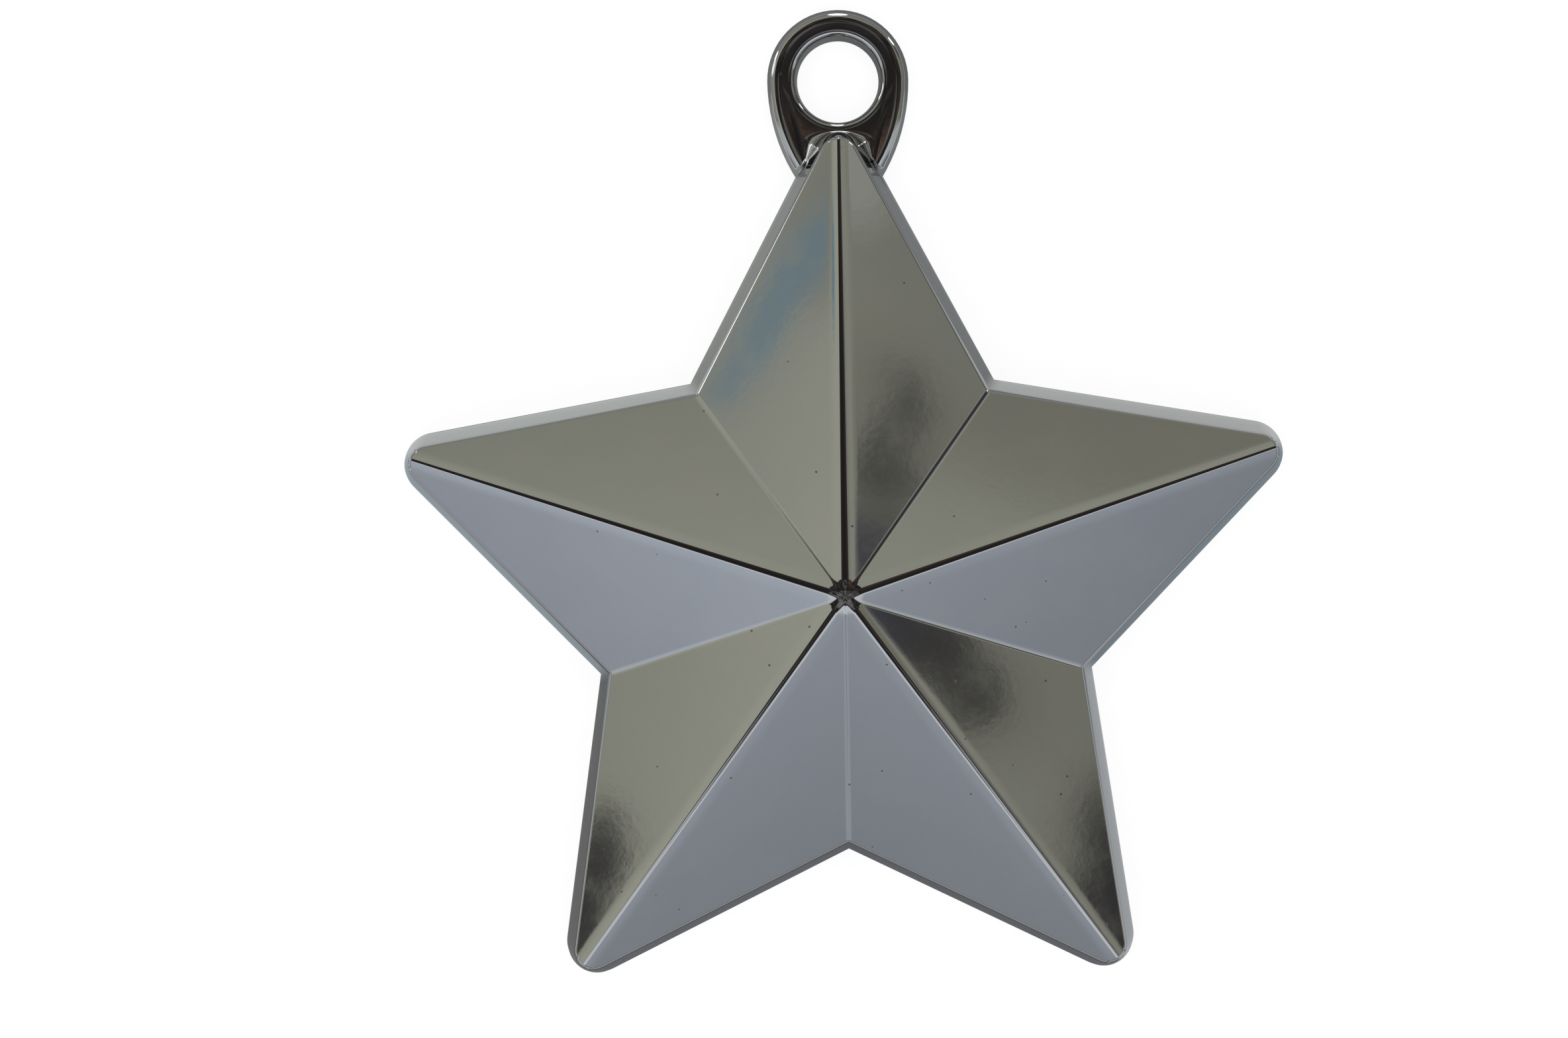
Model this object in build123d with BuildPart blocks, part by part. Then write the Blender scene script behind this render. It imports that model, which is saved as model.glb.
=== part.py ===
"""Balloon weight: a hollow faceted star with a ribbon eye, closed at the back and filled with sand.

Millimetres. The star lies on its flat back, the plane Z = 0, with the origin at its centre. Z runs up
through the peak of the facets and Y out through the point that carries the eye.
"""

import os
from math import asin, atan, atan2, cos, degrees, pi, sin, tan

from build123d import *

os.makedirs("parts", exist_ok=True)

# Star in plan, at the back, where it is widest
point_count = 5
point_radius = 61.7  # centre to where the two sides of a point would meet
waist_radius = 32.1  # centre to the corner between two points
point_rounding = 4.0  # plan radius of the end of a point
least_rounding = 0.3  # smallest plan radius, on the outlines that lie far inside

# Star in depth
side_height = 15.0  # back to the rim of the facets
facet_rise = 16.5  # rim to the peak
side_inset = 1.6  # how far the sides have leaned in at the rim
ridge_rounding = 1.1
rim_rounding = 0.7
foot_rounding = 0.4
wall = 1.8

# Ribbon eye
eye_reach = 5.9  # end of the top point to the hole's centre
eye_outer_radius = 8.7
eye_hole_radius = 5.0
eye_lift = 0.8  # back of the star to the back of the eye
eye_thickness = 5.4
eye_root_depth = 7.1  # end of the top point back to the eye's end inside it
eye_root_width = 9.2
eye_bite = 0.7  # how far the eye runs into the shell's side
eye_front_rounding = 1.7
eye_hole_rounding = 0.9
eye_back_rounding = 0.8
eye_blend = 0.4  # radius of the hollow between the eye and the side of the point

# Back cover and its seat in the shell
lip = 0.9  # thickness of the shell's edge round the cover
cover_thickness = 1.8
cover_rounding = 0.3
fit_gap = 0.12  # clearance round a seated piece
rib_height = 2.6
rib_thickness = 1.2

# Pins of the cover and their sockets in the shell
pin_circle = 36.0
pin_radius = 1.5
pin_height = 6.5
pin_chamfer = 0.4
socket_radius = 2.9
socket_base = 2.6  # back to the open end of a socket
socket_depth = 6.5

# Filler hole and plug
filler_offset = 16.0  # star's centre to the hole's, away from the eye
filler_radius = 5.5
neck_radius = 8.2
neck_height = 4.0
flange_radius = 6.9
flange_thickness = 1.0
flange_recess = 0.3  # back of the star to the back of the flange
plug_gap = 0.04  # clearance of the plug's stem in the hole
plug_wall = 1.1
bead_reach = 0.35  # how far the plug's end bead stands out past the hole
bead_height = 1.6

# Sand
sand_gap = 0.3  # clearance between the sand and the plastic
sand_level = 22.5  # back to the settled surface

# Half the angle between two neighbouring ridges, and half the angle of a point in plan
half_step = pi / point_count
half_point = atan2(waist_radius * sin(half_step), point_radius - waist_radius * cos(half_step))
lean = side_inset / side_height
reach = 2 * point_radius  # size of cutting shapes that pass right through the star


def point_at(inset):
    """Radius of the sharp points when the sides are moved in by an inset."""
    return point_radius - inset / sin(half_point)


def waist_at(inset):
    """Radius of the inner corners when the sides are moved in by an inset."""
    return waist_radius - inset / sin(half_point + half_step)


# Place of the ribbon eye
point_end = point_at(0) - point_rounding / sin(half_point) + point_rounding
eye_centre = point_end + eye_reach
eye_root = point_end - eye_root_depth

# Each facet's plane holds the peak, a sharp point of the rim and an inner corner of the rim
peak = side_height + facet_rise
rim_point = point_at(side_inset)
rim_waist = waist_at(side_inset)
facet_normal = Vector(
    facet_rise * (rim_point - rim_waist * cos(half_step)),
    facet_rise * rim_waist * sin(half_step),
    rim_point * rim_waist * sin(half_step),
).normalized()

# Fall of a facet to either side of its ridge, in the plane square to the ridge
gable_angle = asin(facet_normal.X)
ridge_plane = Plane(origin=(0, 0, peak), x_dir=(1, 0, 0), z_dir=(0, rim_point, -facet_rise))

# Just above the rim, where the facets have left the sides all round
shoulder_share = 0.2
shoulder = side_height + shoulder_share * facet_rise


def star(inset, level):
    """Plan of the star at a level, moved in from its widest outline by an inset."""
    with BuildSketch(Plane.XY.offset(level)) as plan:
        with BuildLine():
            corners = []
            for i in range(2 * point_count):
                radius = waist_at(inset) if i % 2 else point_at(inset)
                corners.append((-radius * sin(i * half_step), radius * cos(i * half_step)))
            Polyline(*corners, close=True)
        make_face()
        ends = plan.vertices().group_by(SortBy.DISTANCE)[-1]
        fillet(ends, radius=max(point_rounding - inset, least_rounding))
    return plan.sketch


def arm(depth, base, ridge_radius):
    """The top point of the star above a base level, with every face moved in by a depth."""
    drop = depth / cos(gable_angle)
    with BuildPart() as body:
        # Leaning sides that meet in a rounded end, carried straight up above the shoulder
        inset = depth + lean * base
        with BuildSketch(Plane.XY.offset(base)) as dart:
            with BuildLine():
                tail_x = reach * tan(half_point)
                tail_y = point_at(inset) - reach
                Polyline((0, point_at(inset)), (-tail_x, tail_y), (tail_x, tail_y), close=True)
            make_face()
            end = dart.vertices().sort_by(Axis.Y)[-1]
            fillet(end, radius=max(point_rounding - inset, least_rounding))
        extrude(amount=shoulder - base, taper=degrees(atan(lean)))
        extrude(body.faces().sort_by(Axis.Z)[-1], amount=facet_rise)

        # One fifth of the turn, between two valleys
        with BuildSketch():
            with BuildLine():
                far_x = reach * sin(half_step)
                far_y = reach * cos(half_step)
                Polyline((0, 0), (far_x, far_y), (-far_x, far_y), close=True)
            make_face()
        extrude(amount=peak, mode=Mode.INTERSECT)

        # Two facets that meet in a rounded ridge
        with BuildSketch(ridge_plane) as gable:
            with BuildLine():
                eaves = drop + reach * tan(gable_angle)
                Polyline((0, drop), (reach, eaves), (-reach, eaves), close=True)
            make_face()
            if ridge_radius:
                fillet(gable.vertices().sort_by(Axis.Y)[0], radius=ridge_radius)
        extrude(amount=reach, both=True, mode=Mode.INTERSECT)
    return body.part


# One point of the shell, solid, with its rim and foot rounded
with BuildPart() as outer_point:
    add(arm(0, 0, ridge_rounding))
    rim = outer_point.edges().filter_by_position(Axis.Z, side_height - rim_rounding, shoulder)
    fillet(rim.filter_by_position(Axis.Y, waist_radius, point_radius), radius=rim_rounding)
    foot = outer_point.edges().group_by(Axis.Z)[0]
    fillet(foot.filter_by_position(Axis.Y, waist_radius, point_radius), radius=foot_rounding)

# The space inside one point, round the socket that hangs from its roof
with BuildPart() as inner_point:
    add(arm(wall, 0, 0))
    with BuildSketch(Plane.XY.offset(socket_base)):
        with Locations((0, pin_circle)):
            Circle(socket_radius)
    extrude(amount=peak, mode=Mode.SUBTRACT)
    with BuildSketch(Plane.XY.offset(socket_base)):
        with Locations((0, pin_circle)):
            Circle(pin_radius + fit_gap)
    extrude(amount=socket_depth)

with BuildPart() as cavity:
    with PolarLocations(0, point_count):
        add(inner_point.part)

# Ribbon eye: a ring that narrows to a root inside the top point
with BuildPart() as eye:
    with BuildSketch(Plane.XY.offset(eye_lift)):
        with BuildLine():
            crown = CenterArc((0, eye_centre), eye_outer_radius, 0, 180)
            right = TangentArc(crown @ 0, (eye_root_width / 2, eye_root), tangent=(0, -1))
            left = TangentArc(crown @ 1, (-eye_root_width / 2, eye_root), tangent=(0, -1))
            Line(right @ 1, left @ 1)
        make_face()
        with Locations((0, eye_centre)):
            Circle(eye_hole_radius, mode=Mode.SUBTRACT)
    extrude(amount=eye_thickness)
    front_edges = eye.edges().group_by(Axis.Z)[-1].filter_by(GeomType.CIRCLE)
    hole_edge, *outer_edges = front_edges.sort_by(SortBy.RADIUS)
    fillet(outer_edges, radius=eye_front_rounding)
    hole_edge = eye.edges().group_by(Axis.Z)[-1].filter_by(GeomType.CIRCLE).sort_by(SortBy.RADIUS)[0]
    fillet(hole_edge, radius=eye_hole_rounding)
    fillet(eye.edges().group_by(Axis.Z)[0].filter_by(GeomType.CIRCLE), radius=eye_back_rounding)
    extrude(star(eye_bite, 0), amount=side_height, mode=Mode.SUBTRACT)

with BuildPart() as front_shell:
    with PolarLocations(0, point_count):
        add(outer_point.part)
    add(cavity.part, mode=Mode.SUBTRACT)

    # Seat for the cover
    extrude(star(lip, 0), amount=cover_thickness, mode=Mode.SUBTRACT)

    # Eye, with a smooth hollow where its flat runs into the side of the point
    add(eye.part)
    flats = front_shell.faces().filter_by(Axis.Z).filter_by_position(Axis.Y, eye_root, eye_centre)
    flat_edges = flats.sort_by(Axis.Z)[-1].edges()
    fillet(flat_edges.sort_by(SortBy.DISTANCE)[:3], radius=eye_blend)
front_shell.part.label = "front_shell"

# Locating rib of the cover, clear of the shell's leaning sides up to its top
rib_inset = wall + lean * (cover_thickness + rib_height) + fit_gap

with BuildPart() as back_cover:
    extrude(star(lip + fit_gap, 0), amount=cover_thickness)
    fillet(back_cover.edges().group_by(Axis.Z)[0], radius=cover_rounding)

    extrude(star(rib_inset, cover_thickness), amount=rib_height)
    extrude(
        star(rib_inset + rib_thickness, cover_thickness), amount=rib_height, mode=Mode.SUBTRACT
    )

    with BuildSketch(Plane.XY.offset(cover_thickness)):
        with PolarLocations(pin_circle, point_count, start_angle=90):
            Circle(pin_radius)
    extrude(amount=pin_height)
    chamfer(back_cover.edges().group_by(Axis.Z)[-1], length=pin_chamfer)

    with BuildSketch(Plane.XY.offset(cover_thickness)):
        with Locations((0, -filler_offset)):
            Circle(neck_radius)
    extrude(amount=neck_height)
    with Locations(Plane((0, -filler_offset, 0), z_dir=(0, 0, -1))):
        CounterBoreHole(
            filler_radius, flange_radius + fit_gap, flange_recess + flange_thickness
        )
back_cover.part.label = "back_cover"

# Push-in plug: flange in the counterbore, hollow stem through the neck, bead behind it
neck_top = cover_thickness + neck_height
stem_radius = filler_radius - plug_gap
flange_top = flange_recess + flange_thickness

with BuildPart() as filler_plug:
    with BuildSketch(Plane.XZ.offset(filler_offset)):
        with BuildLine():
            Polyline(
                (0, flange_recess),
                (flange_radius, flange_recess),
                (flange_radius, flange_top),
                (stem_radius, flange_top),
                (stem_radius, neck_top + fit_gap),
                (filler_radius + bead_reach, neck_top + fit_gap + bead_reach),
                (stem_radius - bead_reach, neck_top + fit_gap + bead_height),
                (stem_radius - plug_wall, neck_top + fit_gap + bead_height),
                (stem_radius - plug_wall, flange_top),
                (0, flange_top),
                close=True,
            )
        make_face()
    revolve(axis=Axis((0, -filler_offset, 0), (0, 0, 1)))
filler_plug.part.label = "filler_plug"

# Sand between the cover, the rib, the sockets and the facets, level on top
sand_floor = cover_thickness + sand_gap
rib_top = cover_thickness + rib_height
upper_sand = arm(wall + sand_gap, rib_top + sand_gap, 0)

with BuildPart() as sand_fill:
    with PolarLocations(0, point_count):
        add(upper_sand)
    lower_plan = star(rib_inset + rib_thickness + sand_gap, sand_floor)
    extrude(lower_plan, amount=rib_height)
    split(bisect_by=Plane.XY.offset(sand_level), keep=Keep.BOTTOM)

    with BuildSketch():
        with PolarLocations(pin_circle, point_count, start_angle=90):
            Circle(socket_radius + sand_gap)
        with Locations((0, -filler_offset)):
            Circle(neck_radius + sand_gap)
    extrude(amount=neck_top + sand_gap, mode=Mode.SUBTRACT)
    with BuildSketch():
        with PolarLocations(pin_circle, point_count, start_angle=90):
            Circle(socket_radius + sand_gap)
        with Locations((0, -filler_offset)):
            Circle(filler_radius + bead_reach + sand_gap)
    extrude(amount=neck_top + fit_gap + bead_height + sand_gap, mode=Mode.SUBTRACT)
    with BuildSketch():
        with PolarLocations(pin_circle, point_count, start_angle=90):
            Circle(socket_radius + sand_gap)
    extrude(amount=peak, mode=Mode.SUBTRACT)
sand_fill.part.label = "sand_fill"

for piece in (front_shell, back_cover, filler_plug, sand_fill):
    solids = piece.part.solids()
    print(piece.part.label, len(solids), "solid", round(piece.part.volume), "mm3", piece.part.is_valid)

export_step(front_shell.part, "parts/front_shell.step")
export_step(back_cover.part, "parts/back_cover.step")
export_step(filler_plug.part, "parts/filler_plug.step")
export_step(sand_fill.part, "parts/sand_fill.step")
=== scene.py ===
# %% [markdown]
# # A mirror-plated star that holds balloons down
#
# The object is a hollow plastic star with a mirror finish. Its front has ten flat facets, a loop for
# ribbons stands on the top point, and the back is closed by a flat cover with a push-in plug. The
# engineering model of the same star is loaded first, as a fixed frame in metres: the star lies on its back
# on the plane Z = 0, with Y running out through the loop. Everything below is made in that frame, so
# nothing needs to be fitted.

# %% Load the engineering model
from math import atan, atan2, cos, degrees, pi, radians, sin, sqrt

import bmesh
import bpy
from mathutils import Matrix, Vector


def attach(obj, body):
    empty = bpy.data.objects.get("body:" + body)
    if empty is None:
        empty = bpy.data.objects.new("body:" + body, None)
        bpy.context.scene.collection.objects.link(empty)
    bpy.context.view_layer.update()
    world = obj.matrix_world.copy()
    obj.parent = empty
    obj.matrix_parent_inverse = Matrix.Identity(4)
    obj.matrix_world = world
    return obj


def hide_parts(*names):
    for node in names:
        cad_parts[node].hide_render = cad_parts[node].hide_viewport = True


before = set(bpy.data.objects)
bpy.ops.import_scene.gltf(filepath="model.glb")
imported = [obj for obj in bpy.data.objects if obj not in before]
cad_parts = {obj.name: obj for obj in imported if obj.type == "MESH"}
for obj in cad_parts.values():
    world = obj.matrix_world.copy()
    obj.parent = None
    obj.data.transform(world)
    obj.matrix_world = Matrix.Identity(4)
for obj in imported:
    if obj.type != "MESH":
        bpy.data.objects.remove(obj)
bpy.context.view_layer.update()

scene = bpy.context.scene
print("nodes", sorted(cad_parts))

# %% [markdown]
# ## The camera
#
# A chrome star shows its surroundings, so where the camera stands decides every reflection, and it comes
# first. The picture looks almost straight down on the star. The upper sides show more than the lower ones,
# which puts the camera a little towards the loop. Blender can aim a camera with a Track To constraint, but
# that is unsteady when looking straight down. Here its three axes are worked out and set as a matrix.

# %% Camera
mm = 0.001

camera_data = bpy.data.cameras.new("camera")
camera_data.sensor_width = 36.0
camera_data.lens = 129.37
camera_data.clip_end = 100.0
camera = bpy.data.objects.new("camera", camera_data)
scene.collection.objects.link(camera)
scene.camera = camera

camera_place = Vector((0.0, 18.0, 700.0)) * mm
camera_target = Vector((-7.47, 9.0, 0.0)) * mm
camera_roll = radians(0.845)

forward = (camera_target - camera_place).normalized()
right = forward.cross(Vector((sin(camera_roll), cos(camera_roll), 0.0))).normalized()
up = right.cross(forward)
turn = Matrix((right, up, -forward)).transposed()
camera.matrix_world = Matrix.Translation(camera_place) @ turn.to_4x4()
print("camera height", round(camera_place.z, 3), "m")

# %% [markdown]
# ## Writing materials as sums
#
# A material is a graph of nodes. Wiring each Math node by hand hides what a material does, so a socket is
# wrapped in a small class that knows plus, minus, times and less than: each sign adds the Math node that it
# means. Any other node comes from one method, which takes the node's type, its settings and its inputs. A
# few nodes are needed again and again, and get a short name of their own.

# %% Numbers and colours that vary over a surface
class Field:
    """A number, colour or direction that varies over a surface: the output socket of a node."""

    def __init__(self, kit, socket):
        self.kit = kit
        self.socket = socket

    def __add__(self, other):
        return self.kit.math("ADD", self, other)

    def __radd__(self, other):
        return self.kit.math("ADD", other, self)

    def __sub__(self, other):
        return self.kit.math("SUBTRACT", self, other)

    def __rsub__(self, other):
        return self.kit.math("SUBTRACT", other, self)

    def __mul__(self, other):
        return self.kit.math("MULTIPLY", self, other)

    def __rmul__(self, other):
        return self.kit.math("MULTIPLY", other, self)

    def __lt__(self, other):
        return self.kit.math("LESS_THAN", self, other)


class Node:
    """One node of a graph, with its outputs as fields."""

    def __init__(self, kit, node):
        self.kit = kit
        self.node = node

    def out(self, name):
        return Field(self.kit, self.node.outputs[name])


def rgb(red, green, blue):
    return (red, green, blue, 1.0)


white = rgb(1.0, 1.0, 1.0)
print("fields ready")


# %% A small kit for shader graphs
class Kit:
    """Adds nodes to the graph of a material or a world."""

    def __init__(self, tree):
        self.tree = tree
        tree.nodes.clear()

    def node(self, kind, settings=None, inputs=None):
        node = self.tree.nodes.new(kind)
        for name, value in (settings or {}).items():
            setattr(node, name, value)
        for name, value in (inputs or {}).items():
            if isinstance(value, Field):
                self.tree.links.new(value.socket, node.inputs[name])
            else:
                node.inputs[name].default_value = value
        return Node(self, node)

    def math(self, operation, first, second=0.0):
        return self.node("ShaderNodeMath", {"operation": operation}, {0: first, 1: second}).out("Value")

    def step(self, value, low, high):
        """0 below low, 1 above high, and an even S-curve between them."""
        settings = {"interpolation_type": "SMOOTHSTEP"}
        inputs = {"Value": value, "From Min": low, "From Max": high}
        return self.node("ShaderNodeMapRange", settings, inputs).out("Result")

    def blend(self, share, first, second):
        """From the first colour to the second one as the share goes from 0 to 1."""
        node = self.node("ShaderNodeMix", {"data_type": "RGBA"}, {0: share, 6: first, 7: second})
        return node.out(2)

    def noise(self, place, scale, detail=2.0, roughness=0.5):
        inputs = {"Vector": place, "Scale": scale, "Detail": detail, "Roughness": roughness}
        return self.node("ShaderNodeTexNoise", None, inputs).out("Fac")

    def cells(self, place, scale):
        return self.node("ShaderNodeTexVoronoi", None, {"Vector": place, "Scale": scale, "Randomness": 1.0})

    def parts(self, vector):
        """The X, Y and Z of a vector."""
        node = self.node("ShaderNodeSeparateXYZ", None, {"Vector": vector})
        return [node.out(axis) for axis in "XYZ"]

    def bump(self, height, distance, strength=1.0, **more):
        """The normal of a surface that a height from 0 to 1 lifts by a distance."""
        inputs = {"Height": height, "Strength": strength, "Distance": distance, **more}
        return self.node("ShaderNodeBump", None, inputs).out("Normal")

    def surface(self, inputs):
        """Ends a material in the Principled shader."""
        shader = self.node("ShaderNodeBsdfPrincipled", None, inputs)
        self.node("ShaderNodeOutputMaterial", None, {"Surface": shader.out("BSDF")})


def new_material(name):
    material = bpy.data.materials.new(name)
    material.use_nodes = True
    return material, Kit(material.node_tree)


print("shader kit ready")

# %% [markdown]
# ## Mirror plating
#
# The plastic is plated with bright chrome, so the colour is that of the metal and nearly everything else
# comes from what it reflects. A perfect mirror looks computed. A real moulded part has long soft waves in
# its skin, a much finer ripple, a thin haze from handling, and a few pinholes where the plating didn't
# take. The cover also has fine scuffs, all in one direction, from lying on tables. Everything is driven by
# Object coordinates, which stay on the part whatever the camera does.

# %% Chrome finish
ripple_height = 0.0009 * mm


def plating(name, wave_height, haze, scuffs):
    material, kit = new_material(name)
    place = kit.node("ShaderNodeTexCoord").out("Object")

    waves = kit.noise(place, 45.0, 1.0)
    ripple = kit.noise(place, 900.0, 2.0)
    cloud = kit.noise(place, 130.0, 4.0, 0.6)
    wipe = kit.noise(place, 2600.0, 3.0, 0.7)
    spread = {"Vector": place, "Rotation": (0.0, 0.0, 0.6), "Scale": (28.0, 2600.0, 28.0)}
    strokes = kit.noise(kit.node("ShaderNodeMapping", None, spread).out("Vector"), 1.0, 2.0, 0.6)
    scratch = scuffs * kit.step(strokes, 0.56, 0.74)
    pinhole = 1.0 - kit.step(kit.cells(place, 260.0).out("Distance"), 0.022, 0.05)

    metal = kit.blend(kit.step(cloud, 0.3, 0.75), rgb(0.542, 0.549, 0.549), rgb(0.560, 0.563, 0.558))
    rough = haze + 0.030 * kit.step(cloud, 0.45, 0.8) + 0.012 * wipe + 0.3 * pinhole + 0.12 * scratch
    long_waves = kit.bump(waves, wave_height)
    kit.surface({
        "Base Color": kit.blend(pinhole * 0.7, metal, rgb(0.05, 0.05, 0.05)),
        "Roughness": rough,
        "Metallic": 1.0,
        "Specular Tint": rgb(0.75, 0.75, 0.75),
        "Normal": kit.bump(ripple - 6.0 * pinhole, ripple_height, Normal=long_waves),
    })
    return material


front_plating = plating("front_plating", wave_height=0.006 * mm, haze=0.03, scuffs=0.0)
print("made", front_plating.name)

# %% [markdown]
# ## Plug and sand
#
# The plug is bare moulded plastic with a spark-eroded grain. The filling is dry sand: grains of a few
# colours, and some that glint. A photo texture would be the quick way for sand. Cells of a Voronoi pattern
# do it without one, with a random colour for each cell, and stay sharp at any size.

# %% Moulded plastic
grain_height = 0.01 * mm


def moulded_plastic(name):
    material, kit = new_material(name)
    place = kit.node("ShaderNodeTexCoord").out("Object")
    grain = kit.noise(place, 5200.0, 3.0, 0.65)
    flow = kit.noise(place, 160.0, 3.0)
    kit.surface({
        "Base Color": kit.blend(kit.step(flow, 0.3, 0.7), rgb(0.53, 0.54, 0.55), rgb(0.57, 0.58, 0.59)),
        "Roughness": 0.40 + 0.12 * grain,
        "IOR": 1.49,
        "Normal": kit.bump(grain, grain_height),
    })
    return material


plug_plastic = moulded_plastic("plug_plastic")
print("made", plug_plastic.name)

# %% Loose sand
sand_grain = 0.25 * mm


def loose_sand(name):
    material, kit = new_material(name)
    place = kit.node("ShaderNodeTexCoord").out("Object")
    grains = kit.cells(place, 2400.0)
    tint, dark, shiny = kit.parts(grains.out("Color"))
    heap = kit.noise(place, 120.0, 3.0)
    warm = kit.blend(tint, rgb(0.46, 0.36, 0.24), rgb(0.74, 0.65, 0.50))
    mixed = kit.blend(kit.step(dark, 0.86, 0.92), warm, rgb(0.20, 0.15, 0.11))
    glint = kit.step(shiny, 0.93, 0.96)
    kit.surface({
        "Base Color": kit.blend(0.25 * kit.step(heap, 0.35, 0.7), mixed, rgb(0.40, 0.31, 0.21)),
        "Roughness": 0.85 - 0.55 * glint,
        "Normal": kit.bump(1.0 - grains.out("Distance"), sand_grain, 0.8),
    })
    return material


sand = loose_sand("sand")
print("made", sand.name)

# %% [markdown]
# ## One half of a point
#
# The star repeats itself ten times: five points, each the same left and right of its ridge. So one half of
# a point is modelled, mirrored, and turned round the centre. It could be cut from a block, but a mirror
# finish shows every uneven face, and few large flat faces stay truly flat. The half starts as a line along
# its rim. The line is pulled down to make the side, inwards to make the edge that holds the cover, and up
# again to make the inner wall, so the shell is closed and has a real thickness.

# %% Sizes of the star
point_count = 5
point_radius = 61.7 * mm
waist_radius = 32.1 * mm
point_rounding = 4.0 * mm
side_height = 15.0 * mm
facet_rise = 16.5 * mm
side_inset = 1.6 * mm
wall = 1.8 * mm
lip = 0.9 * mm
seat_depth = 1.8 * mm

half_step = pi / point_count
half_point = atan2(waist_radius * sin(half_step), point_radius - waist_radius * cos(half_step))
peak = side_height + facet_rise
end_centre = Vector((0.0, point_radius - point_rounding / sin(half_point), 0.0))
end_steps = 12
flank_shares = (0.0, 0.62, 0.81)

rim_point = point_radius - side_inset / sin(half_point)
rim_waist = waist_radius - side_inset / sin(half_step + half_point)
facet_normal = Vector((
    facet_rise * (rim_point - rim_waist * cos(half_step)),
    facet_rise * rim_waist * sin(half_step),
    rim_point * rim_waist * sin(half_step),
)).normalized()
print("facets tilt", round(degrees(facet_normal.angle(Vector((0, 0, 1)))), 1), "degrees")

# %% Sizes of the ribbon loop
eye_outer_radius = 8.7 * mm
eye_hole_radius = 5.0 * mm
eye_low = 0.8 * mm
eye_high = 6.2 * mm
eye_reach = 5.9 * mm
root_half_width = 4.6 * mm
root_depth = 7.1 * mm
point_end = end_centre.y + point_rounding
eye_centre = Vector((0.0, point_end + eye_reach, 0.0))

# The loop's flank is an arc that leaves the crown straight down and passes through the root
flank_run = eye_outer_radius - root_half_width
flank_fall = eye_reach + root_depth
flank_radius = (flank_run ** 2 + flank_fall ** 2) / (2 * flank_run)
flank_centre = Vector((eye_outer_radius - flank_radius, eye_centre.y, 0.0))
print("flank radius", round(flank_radius / mm, 1), "mm")

# %% Where the rim line lies when the sides are moved in
side_normal = Vector((cos(half_point), sin(half_point), 0.0))
valley_line = Vector((sin(half_step), cos(half_step), 0.0))


def flank_turn(inset):
    """Angle along the loop's flank, down from the crown, at which it meets the star's side."""
    reach = point_rounding - inset - (flank_centre - end_centre).dot(side_normal)
    cosine = reach / flank_radius
    return atan2(sqrt(1 - cosine ** 2), cosine) - half_point


def rim_line(inset):
    """Waist corner, foot of the loop, and the rounded end of a point up to its ridge."""
    waist = valley_line * (waist_radius - inset / sin(half_step + half_point))
    swing = flank_turn(inset)
    foot = flank_centre + flank_radius * Vector((cos(swing), -sin(swing), 0.0))
    shoulder = end_centre + (point_rounding - inset) * side_normal
    line = [waist] + [foot.lerp(shoulder, share) for share in flank_shares]
    for i in range(end_steps + 1):
        angle = half_point + (pi / 2 - half_point) * i / end_steps
        line.append(end_centre + (point_rounding - inset) * Vector((cos(angle), sin(angle), 0.0)))
    return line


def facet_height(x, y):
    return peak - (facet_normal.x * x + facet_normal.y * y) / facet_normal.z


print("loop meets the side at", [round(v / mm, 2) for v in rim_line(0.0)[1]])


# %% Lines that are pulled into surfaces
def along_y(vertex):
    return vertex.co.y


def line_through(bm, places):
    """A line of vertices through some places, grown from its first vertex."""
    line = [bm.verts.new(places[0])]
    for place in places[1:]:
        line += bmesh.ops.extrude_vert_indiv(bm, verts=line[-1:])["verts"]
        line[-1].co = place
    return line


def pull_out(bm, edges):
    """Pulls faces out of a line of edges, and returns the vertices and edges of the new line."""
    grown = bmesh.ops.extrude_edge_only(bm, edges=edges)["geom"]
    line = [part for part in grown if isinstance(part, bmesh.types.BMVert)]
    edges = [part for part in grown if isinstance(part, bmesh.types.BMEdge)]
    return line, [e for e in edges if set(e.verts) <= set(line)]


def lay(line, inset, level):
    """Moves a line of vertices to an inset and a height; the height may be a function of the plan."""
    for vertex, spot in zip(sorted(line, key=along_y), rim_line(inset)):
        height = level(spot.x, spot.y) if callable(level) else level
        vertex.co = (spot.x, spot.y, height)


def pull_through(bm, stations):
    """Pulls a rim line through stations, each an inset and a height, and returns the last line."""
    edges = bm.edges[:]
    for inset, level in stations:
        line, edges = pull_out(bm, edges)
        lay(line, inset, level)
    return line


print("rim line of", len(rim_line(0.0)), "places")

# %% Half of a point, from its rim line
belly_inset = 0.46 * mm
foot_inset = 0.06 * mm
inner_drop = wall / facet_normal.z
lean = side_inset / side_height
shell_stations = [
    (belly_inset, eye_high),
    (foot_inset, eye_low),
    (0.0, 0.0),
    (lip, 0.0),
    (lip, seat_depth),
    (wall + lean * seat_depth, seat_depth),
    (wall + side_inset, lambda x, y: facet_height(x, y) - inner_drop),
]


def half_of_point():
    bm = bmesh.new()
    rim = line_through(bm, rim_line(side_inset))
    lay(rim, side_inset, facet_height)
    inner = pull_through(bm, shell_stations)
    bm.faces.new([bm.verts.new((0.0, 0.0, peak - inner_drop))] + sorted(inner, key=along_y))
    facet = bm.faces.new([bm.verts.new((0.0, 0.0, peak))] + rim)
    return bm, facet


trial, _ = half_of_point()
print("half of a point", len(trial.verts), "vertices", len(trial.faces), "faces")
trial.free()

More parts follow.
